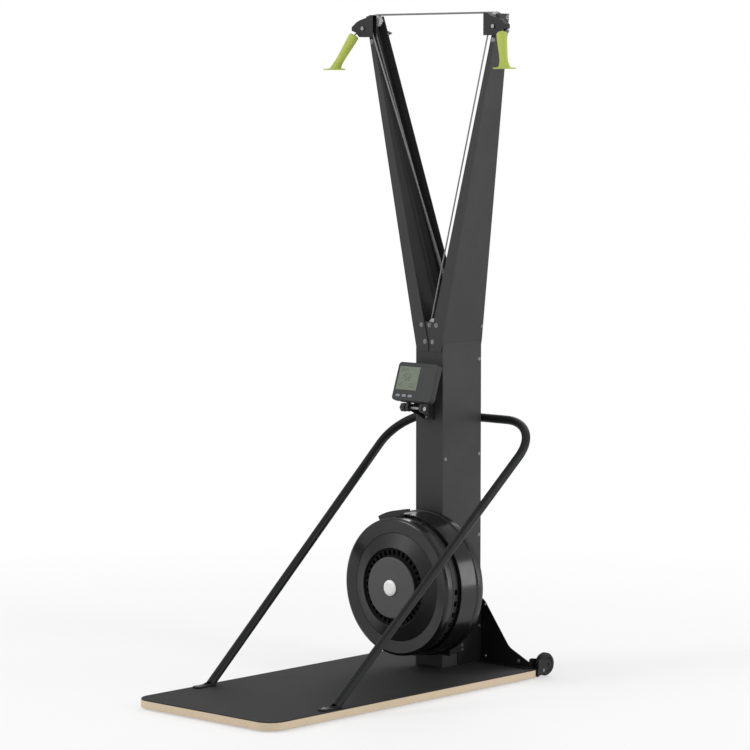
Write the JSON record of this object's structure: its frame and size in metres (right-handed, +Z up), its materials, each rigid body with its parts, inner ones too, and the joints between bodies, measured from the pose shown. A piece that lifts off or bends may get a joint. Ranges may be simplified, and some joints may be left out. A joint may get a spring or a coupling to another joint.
{
  "type": "ski trainer machine",
  "caption": "Standing ski trainer with a deck, a column that forks into two arms, corded pull handles over pulleys, an air fan drive, side handrails, a tilting monitor and transport wheels.",
  "frame": {"origin": "centre of the bounding box on the floor", "axes": "+Z up, +Y from the user toward the machine, +X to the user's right"},
  "size_m": [0.8034, 1.3164, 2.1468],
  "materials": {
    "deck_wood": "birch plywood, sealed edge",
    "mat_rubber": "fine textured dark grey",
    "frame_metal": "satin dark grey powder coat",
    "black_metal": "satin black powder coat",
    "shell_gloss": "glossy black",
    "guard_grey": "satin grey",
    "light_plastic": "light grey",
    "steel": "zinc plated",
    "drive_cord": "braided light grey",
    "elastic_cord": "braided dark grey elastic",
    "grip": "yellow green soft grip",
    "monitor_plastic": "fine matt black",
    "screen": "grey green display pane",
    "wheel_tyre": "solid black tread"
  },
  "bodies": {
    "frame": {"deck_board": "deck_wood", "deck_mat": "mat_rubber", "runner_left": "mat_rubber", "runner_right": "mat_rubber", "base_bracket": "black_metal", "column": "frame_metal", "column_cover": "frame_metal", "arm_left": "frame_metal", "arm_right": "frame_metal", "rail_left": "black_metal", "rail_right": "black_metal", "shell_stay_left": "black_metal", "shell_stay_right": "black_metal", "wheel_bracket_left": "black_metal", "wheel_bracket_right": "black_metal", "head_left": "black_metal", "head_right": "black_metal", "head_axle_left": "steel", "head_axle_right": "steel", "return_axle_left": "steel", "return_axle_right": "steel", "drive_cord_left": "drive_cord", "drive_cord_right": "drive_cord", "return_cord": "elastic_cord", "guide_axle_left": "steel", "guide_axle_centre": "steel", "guide_axle_right": "steel", "guide_bracket": "black_metal", "front_shell": "shell_gloss", "fan_guard": "guard_grey", "centre_cap": "light_plastic", "rear_shell": "shell_gloss", "bearing_front": "steel", "bearing_rear": "steel", "monitor_arm": "black_metal"},
    "fan": {"fan_shaft": "steel", "flywheel": "black_metal"},
    "left_handle": {"handle_left": "grip", "pull_cord_left": "drive_cord"},
    "right_handle": {"handle_right": "grip", "pull_cord_right": "drive_cord"},
    "left_head_pulley": {"head_pulley_left": "light_plastic"},
    "right_head_pulley": {"head_pulley_right": "light_plastic"},
    "left_guide_pulley": {"guide_pulley_left": "light_plastic"},
    "right_guide_pulley": {"guide_pulley_right": "light_plastic"},
    "rear_drum": {"drum_rear": "light_plastic"},
    "front_drum": {"drum_front": "light_plastic"},
    "left_return_pulley": {"return_pulley_left": "light_plastic"},
    "right_return_pulley": {"return_pulley_right": "light_plastic"},
    "left_return_roller": {"return_roller_left": "light_plastic"},
    "right_return_roller": {"return_roller_right": "light_plastic"},
    "damper": {"damper_ring": "shell_gloss"},
    "monitor": {"monitor_housing": "monitor_plastic", "monitor_screen": "screen"},
    "button_1": {"monitor_button_1": "light_plastic"},
    "button_2": {"monitor_button_2": "light_plastic"},
    "button_3": {"monitor_button_3": "light_plastic"},
    "knob": {"monitor_knob": "monitor_plastic"},
    "left_wheel": {"wheel_left": "wheel_tyre"},
    "right_wheel": {"wheel_right": "wheel_tyre"}
  },
  "joints": [
    {"name": "fan_spin", "type": "hinge", "parent": "frame", "child": "fan", "pos_m": [0, 0.3, 0.309], "axis": [0, 1, 0], "continuous": true},
    {"name": "left_handle_pull", "type": "slide", "parent": "frame", "child": "left_handle", "axis": [-0.0807, -0.3631, -0.9282], "range_m": [0, 1.24], "stiffness_N_per_m": 20, "springref_m": -1, "deforming": ["pull_cord_left"]},
    {"name": "right_handle_pull", "type": "slide", "parent": "frame", "child": "right_handle", "axis": [0.0807, -0.3631, -0.9282], "range_m": [0, 1.24], "stiffness_N_per_m": 20, "springref_m": -1, "deforming": ["pull_cord_right"]},
    {"name": "left_head_pulley_spin", "type": "hinge", "parent": "frame", "child": "left_head_pulley", "pos_m": [-0.28, 0.3718, 2.1], "axis": [0, 1, 0], "range_deg": [-2975, 0]},
    {"name": "right_head_pulley_spin", "type": "hinge", "parent": "frame", "child": "right_head_pulley", "pos_m": [0.28, 0.3718, 2.1], "axis": [0, 1, 0], "range_deg": [0, 2975]},
    {"name": "left_guide_pulley_spin", "type": "hinge", "parent": "frame", "child": "left_guide_pulley", "pos_m": [0, 0.49975, 1.145], "axis": [0, 1, 0], "range_deg": [-4445, 0]},
    {"name": "right_guide_pulley_spin", "type": "hinge", "parent": "frame", "child": "right_guide_pulley", "pos_m": [0, 0.39975, 1.145], "axis": [0, 1, 0], "range_deg": [0, 4445]},
    {"name": "rear_drum_spin", "type": "hinge", "parent": "frame", "child": "rear_drum", "pos_m": [0, 0.49975, 0.309], "axis": [0, 1, 0], "range_deg": [0, 2375]},
    {"name": "front_drum_spin", "type": "hinge", "parent": "frame", "child": "front_drum", "pos_m": [0, 0.39975, 0.309], "axis": [0, 1, 0], "range_deg": [0, 2375]},
    {"name": "left_return_pulley_spin", "type": "hinge", "parent": "frame", "child": "left_return_pulley", "pos_m": [-0.2573, 0.40175, 2.126], "axis": [0, 1, 0], "range_deg": [-1115, 0]},
    {"name": "right_return_pulley_spin", "type": "hinge", "parent": "frame", "child": "right_return_pulley", "pos_m": [0.2573, 0.40175, 2.126], "axis": [0, 1, 0], "range_deg": [0, 1115]},
    {"name": "left_return_roller_spin", "type": "hinge", "parent": "frame", "child": "left_return_roller", "pos_m": [-0.034, 0.53175, 1.145], "axis": [0, 1, 0], "range_deg": [0, 3560]},
    {"name": "right_return_roller_spin", "type": "hinge", "parent": "frame", "child": "right_return_roller", "pos_m": [0.034, 0.53175, 1.145], "axis": [0, 1, 0], "range_deg": [-3560, 0]},
    {"name": "damper_turn", "type": "hinge", "parent": "frame", "child": "damper", "pos_m": [0, 0.25875, 0.309], "axis": [0, 1, 0], "range_deg": [0, 60]},
    {"name": "monitor_tilt", "type": "hinge", "parent": "frame", "child": "monitor", "pos_m": [0, 0.30975, 0.88], "axis": [1, 0, 0], "range_deg": [-7, 40]},
    {"name": "button_1_press", "type": "slide", "parent": "monitor", "child": "button_1", "axis": [0, 0.9455, -0.3256], "range_m": [0, 0.002], "stiffness_N_per_m": 300, "springref_m": -0.003},
    {"name": "button_2_press", "type": "slide", "parent": "monitor", "child": "button_2", "axis": [0, 0.9455, -0.3256], "range_m": [0, 0.002], "stiffness_N_per_m": 300, "springref_m": -0.003},
    {"name": "button_3_press", "type": "slide", "parent": "monitor", "child": "button_3", "axis": [0, 0.9455, -0.3256], "range_m": [0, 0.002], "stiffness_N_per_m": 300, "springref_m": -0.003},
    {"name": "knob_turn", "type": "hinge", "parent": "frame", "child": "knob", "pos_m": [0, 0.30975, 0.88], "axis": [1, 0, 0], "continuous": true},
    {"name": "left_wheel_roll", "type": "hinge", "parent": "frame", "child": "left_wheel", "pos_m": [-0.285, 0.62075, 0.0405], "axis": [1, 0, 0], "continuous": true},
    {"name": "right_wheel_roll", "type": "hinge", "parent": "frame", "child": "right_wheel", "pos_m": [0.285, 0.62075, 0.0405], "axis": [1, 0, 0], "continuous": true}
  ],
  "couplings": [
    {"joint": "left_head_pulley_spin", "follows": "left_handle_pull", "rad_per_m": -41.667},
    {"joint": "right_head_pulley_spin", "follows": "right_handle_pull", "rad_per_m": 41.667},
    {"joint": "left_guide_pulley_spin", "follows": "left_handle_pull", "rad_per_m": -62.5},
    {"joint": "right_guide_pulley_spin", "follows": "right_handle_pull", "rad_per_m": 62.5},
    {"joint": "rear_drum_spin", "follows": "left_handle_pull", "rad_per_m": 33.333},
    {"joint": "front_drum_spin", "follows": "right_handle_pull", "rad_per_m": 33.333},
    {"joint": "left_return_pulley_spin", "follows": "left_handle_pull", "rad_per_m": -15.6},
    {"joint": "right_return_pulley_spin", "follows": "right_handle_pull", "rad_per_m": 15.6},
    {"joint": "left_return_roller_spin", "follows": "left_handle_pull", "rad_per_m": 50},
    {"joint": "right_return_roller_spin", "follows": "right_handle_pull", "rad_per_m": -50}
  ]
}
